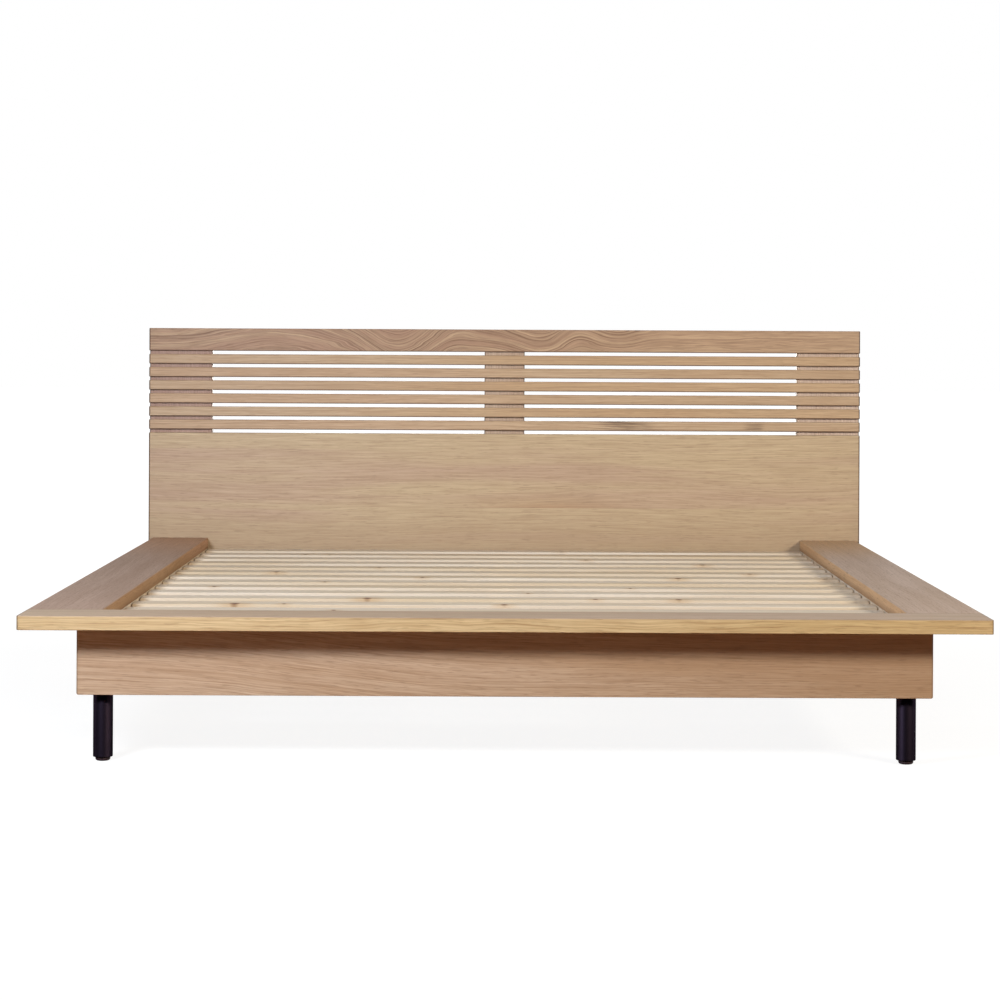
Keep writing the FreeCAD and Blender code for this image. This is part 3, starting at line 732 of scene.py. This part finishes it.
# Steel and plastic
finishes = {  # grit and relief are in mm
    "satinBlackSteel": {  # blackened steel, satin coated: dark, with soft upright highlights and no pale rim
        "colour": ("#645369", "#6c5b71"), "metallic": 1.0, "roughness": 0.33, "specular": 0.5,
        "rim": "#191619", "grit": 1.6, "relief": 0.05, "nodes": [f"leg_{place}" for place in places],
    },
    "mouldedNylon": {  # black moulded plastic: dull, with a faint moulded grain
        "colour": ("#372b32", "#403339"), "metallic": 0.0, "roughness": 0.4, "specular": 0.5,
        "grit": 0.9, "relief": 0.04, "nodes": [f"glide_pad_{place}" for place in places],
    },
    "brightZincPlate": {  # zinc-plated steel: grey with a bluish and yellowish bloom, soft reflections
        "colour": ("#b9bcc2", "#d3cfc0"), "metallic": 1.0, "roughness": 0.34, "specular": 0.5,
        "grit": 5.0, "relief": 0.01,
        "nodes": ["bed_bolts", "threaded_inserts", "ledge_screws", "batten_screws", "beam_brackets",
                  "bracket_screws"] + [f"threadedStem_{place}" for place in places],
    },
    "blackPhosphate": {  # phosphated screws: charcoal, almost no shine
        "colour": ("#2a2523", "#3a332f"), "metallic": 0.6, "roughness": 0.55, "specular": 0.4,
        "grit": 1.2, "relief": 0.02, "nodes": ["slatScrews", "headboardScrews"],
    },
}
roughnessSwing = 0.05                          # either way, with the grit
gritBump = 0.4


def finishMaterial(name, spec):
    material, tree, shader = blankMaterial(name)
    add = functools.partial(addNode, tree)
    where = add("ShaderNodeTexCoord").outputs["Object"]
    noise = add("ShaderNodeTexNoise", None, {
        "Vector": where, "Scale": 1 / (spec["grit"] * mm), "Detail": 2.0, "Roughness": 0.5,
    }).outputs["Fac"]
    dark, pale = (linear(code) for code in spec["colour"])
    colour = add("ShaderNodeMix", colourMix, {0: noise, 6: dark, 7: pale}).outputs[2]
    rough = add("ShaderNodeMapRange", None, {
        "Value": noise,
        "To Min": spec["roughness"] - roughnessSwing,
        "To Max": spec["roughness"] + roughnessSwing,
    }).outputs["Result"]
    bump = add("ShaderNodeBump", None, {
        "Height": noise, "Strength": gritBump, "Distance": spec["relief"] * mm,
    }).outputs["Normal"]
    for key, socket in (("Base Color", colour), ("Roughness", rough), ("Normal", bump)):
        tree.links.new(socket, shader.inputs[key])
    shader.inputs["Metallic"].default_value = spec["metallic"]
    shader.inputs["Specular IOR Level"].default_value = spec["specular"]
    shader.inputs["Specular Tint"].default_value = linear(spec.get("rim", "#ffffff"))
    return material


for name, spec in finishes.items():
    finish = finishMaterial(name, spec)
    for node in spec["nodes"]:
        dress(node, finish)
print("finishes on", sum(len(spec["nodes"]) for spec in finishes.values()), "metal and plastic nodes")

# Floor, light and camera
stage = {
    "floorHalf": 40.0,                         # metres
    "floorGlow": 0.88, "glowRange": (1.5, 4.5),  # glow under the bed, and metres where it rises to white
    "rearRange": (-1.0, 1.0),                  # metres in y over which mirrors begin to show the white floor
    "floorDiffuse": "#7a7a7a", "floorBounce": "#aa846c",  # as it is seen, and as it lights the wood
    "frontAmbient": 0.07, "backAmbient": 0.5, "topAmbient": 0.12,
    "mirrorFront": 0.03, "mirrorRange": (-0.5, 0.2),  # the room behind the camera is dim in mirrors
}
softboxes = {  # millimetres and watts
    "leftSoftbox": {
        "place": (-1364, -2320, 1070), "aim": (0, 300, 500), "size": (500, 300),
        "power": 20.0, "colour": "#e9f3ff",
    },
    "rightSoftbox": {
        "place": (2450, -2800, 1450), "aim": (0, 300, 500), "size": (900, 300),
        "power": 21.0, "colour": "#fff6e1",
    },
    "backSoftbox": {
        "place": (0, 4200, 900), "aim": (0, 1100, 600), "size": (1800, 700),
        "power": 16, "colour": "#fffaf2",
    },
}
view = {  # millimetres, degrees and pixels of a 1000 by 1000 frame
    "place": (-13.2, -6587.5, 964.6), "roll": 0.267,
    "focalPixels": 2471.4, "horizonPixel": 339.1, "middlePixel": 500.5, "frame": 1000, "sensor": 36.0,
}


def seenRays(add, path):  # 1 for rays that show the background to the camera, by itself or in metal or glass
    seen = path["Is Camera Ray"]
    for kind in ("Is Glossy Ray", "Is Transmission Ray"):
        seen = add("ShaderNodeMath", {"operation": "ADD", "use_clamp": True}, {
            0: seen, 1: path[kind],
        }).outputs[0]
    return seen


def makeFloor(spec):
    half = spec["floorHalf"]
    corners = [(x * half, y * half, 0.0) for x, y in ((-1, -1), (1, -1), (1, 1), (-1, 1))]
    mesh = bpy.data.meshes.new("floor")
    mesh.from_pydata(corners, [], [(0, 1, 2, 3)])
    floor = bpy.data.objects.new("floor", mesh)
    bpy.context.scene.collection.objects.link(floor)
    material = bpy.data.materials.new("paperFloor")  # white seamless paper that takes a faint shadow
    material.use_nodes = True
    tree = material.node_tree
    tree.nodes.clear()
    add = functools.partial(addNode, tree)
    place = add("ShaderNodeTexCoord").outputs["Object"]
    away = add("ShaderNodeVectorMath", {"operation": "LENGTH"}, {0: place}).outputs["Value"]
    near, far = spec["glowRange"]
    beyond = add("ShaderNodeMapRange", smoothStep, {
        "Value": away, "From Min": near, "From Max": far,
    }).outputs["Result"]
    level = add("ShaderNodeMapRange", None, {"Value": beyond, "To Min": spec["floorGlow"]}).outputs["Result"]
    path = add("ShaderNodeLightPath").outputs
    glow = add("ShaderNodeEmission", None, {"Strength": level}).outputs["Emission"]
    catch = add("ShaderNodeBsdfDiffuse", None, {"Color": linear(spec["floorDiffuse"])}).outputs["BSDF"]
    white = add("ShaderNodeAddShader", None, {0: glow, 1: catch}).outputs["Shader"]
    bounce = add("ShaderNodeBsdfDiffuse", None, {"Color": linear(spec["floorBounce"])}).outputs["BSDF"]
    paper = add("ShaderNodeMixShader", None, {0: seenRays(add, path), 1: bounce, 2: white}).outputs["Shader"]
    front, back = spec["rearRange"]
    rear = add("ShaderNodeMapRange", smoothStep, {
        "Value": add("ShaderNodeSeparateXYZ", None, {"Vector": place}).outputs["Y"],
        "From Min": front, "From Max": back, "To Max": beyond,
    }).outputs["Result"]
    under = add("ShaderNodeMath", {"operation": "SUBTRACT"}, {0: 1.0, 1: rear}).outputs[0]
    shaded = add("ShaderNodeMath", {"operation": "MULTIPLY"}, {
        0: under, 1: path["Is Glossy Ray"],
    }).outputs[0]
    dark = add("ShaderNodeEmission", None, {"Strength": 0.0}).outputs["Emission"]
    paper = add("ShaderNodeMixShader", None, {  # mirrors show a dim floor under and before the bed
        0: shaded, 1: paper, 2: dark,
    }).outputs["Shader"]
    add("ShaderNodeOutputMaterial", None, {"Surface": paper})
    mesh.materials.append(material)


def makeWorld(spec):
    # White where it is seen, and a dim room for the light that it gives, brighter behind the bed
    world = bpy.data.worlds.new("studio")
    bpy.context.scene.world = world
    world.use_nodes = True
    tree = world.node_tree
    tree.nodes.clear()
    add = functools.partial(addNode, tree)
    path = add("ShaderNodeLightPath").outputs
    coordinates = add("ShaderNodeTexCoord").outputs["Generated"]
    way = add("ShaderNodeSeparateXYZ", None, {"Vector": coordinates}).outputs
    room = add("ShaderNodeMapRange", None, {
        "Value": way["Y"], "From Min": -1.0, "From Max": 1.0,
        "To Min": spec["frontAmbient"], "To Max": spec["backAmbient"],
    }).outputs["Result"]
    above = add("ShaderNodeMath", {"operation": "MAXIMUM"}, {0: way["Z"], 1: 0.0}).outputs[0]
    dim = add("ShaderNodeMath", {"operation": "MULTIPLY_ADD"}, {
        0: above, 1: spec["topAmbient"], 2: room,
    }).outputs[0]
    shown = add("ShaderNodeMix", None, {0: seenRays(add, path), 2: dim, 3: 1.0}).outputs[0]
    front, back = spec["mirrorRange"]
    mirrored = add("ShaderNodeMapRange", smoothStep, {
        "Value": way["Y"], "From Min": front, "From Max": back, "To Min": spec["mirrorFront"], "To Max": 1.0,
    }).outputs["Result"]
    strength = add("ShaderNodeMix", None, {0: path["Is Glossy Ray"], 2: shown, 3: mirrored}).outputs[0]
    sky = add("ShaderNodeBackground", None, {"Color": (1.0, 1.0, 1.0, 1.0), "Strength": strength})
    add("ShaderNodeOutputWorld", None, {"Surface": sky.outputs["Background"]})


def makeSoftbox(name, spec):
    lamp = bpy.data.lights.new(name, "AREA")
    lamp.shape = "RECTANGLE"
    lamp.size, lamp.size_y = (side * mm for side in spec["size"])
    lamp.energy = spec["power"]
    lamp.color = linear(spec["colour"])[:3]
    lamp.use_nodes = True
    tree = lamp.node_tree
    tree.nodes.clear()
    fall = addNode(tree, "ShaderNodeLightFalloff", None, {"Strength": 1.0})
    glow = addNode(tree, "ShaderNodeEmission", None, {
        "Strength": fall.outputs["Linear"],  # falls off slowly, so that it carries to the headboard
    }).outputs["Emission"]
    addNode(tree, "ShaderNodeOutputLight", None, {"Surface": glow})
    softbox = bpy.data.objects.new(name, lamp)
    bpy.context.scene.collection.objects.link(softbox)
    softbox.visible_camera = False
    softbox.location = Vector(spec["place"]) * mm
    softbox.rotation_mode = "QUATERNION"
    softbox.rotation_quaternion = (Vector(spec["place"]) - Vector(spec["aim"])).to_track_quat("Z", "Y")


def makeCamera(spec):
    data = bpy.data.cameras.new("camera")
    data.sensor_width = spec["sensor"]
    data.lens = spec["sensor"] * spec["focalPixels"] / spec["frame"]
    data.shift_x = 0.5 - spec["middlePixel"] / spec["frame"]
    data.shift_y = spec["horizonPixel"] / spec["frame"] - 0.5
    camera = bpy.data.objects.new("camera", data)
    bpy.context.scene.collection.objects.link(camera)
    camera.location = Vector(spec["place"]) * mm
    camera.rotation_euler = (math.radians(90), math.radians(-spec["roll"]), 0)
    bpy.context.scene.camera = camera


makeFloor(stage)
makeWorld(stage)
for name, spec in softboxes.items():
    makeSoftbox(name, spec)
makeCamera(view)
bpy.context.scene.view_settings.view_transform = "Standard"
print("stage, light and camera set")
